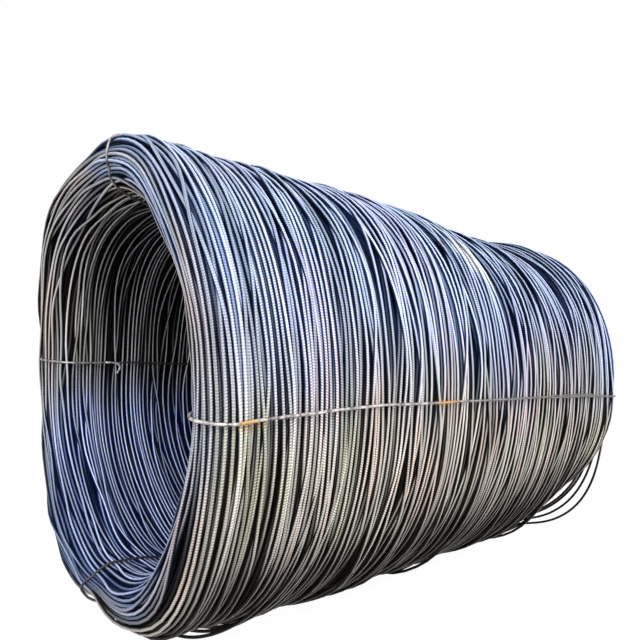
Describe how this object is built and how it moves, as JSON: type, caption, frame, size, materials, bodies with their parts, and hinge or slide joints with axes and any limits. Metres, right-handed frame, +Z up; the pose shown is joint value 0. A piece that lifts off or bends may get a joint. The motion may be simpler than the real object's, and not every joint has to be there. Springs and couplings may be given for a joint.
{
  "type": "coil of wire rod",
  "caption": "Long open-eyed coil of ribbed steel wire rod, hot-rolled and loosely laid in rings, held by tie wires with twisted ends; raw stock for drawing or reinforcement.",
  "frame": {"origin": "on the floor under the middle of the coil", "axes": "+X along the eye, towards the end that has the twisted tie ends; +Z up; -Y is the side with the front tie"},
  "size_m": [1.7138, 1.2661, 1.2628],
  "materials": {
    "rod_steel": "blue-grey mill scale on ribbed rod",
    "tie_wire": "dark mill scale, with rust stains in places"
  },
  "bodies": {
    "root": {"coil": "rod_steel", "tie_front": "tie_wire", "tie_top": "tie_wire", "tie_back": "tie_wire", "tie_bottom": "tie_wire"}
  },
  "joints": []
}
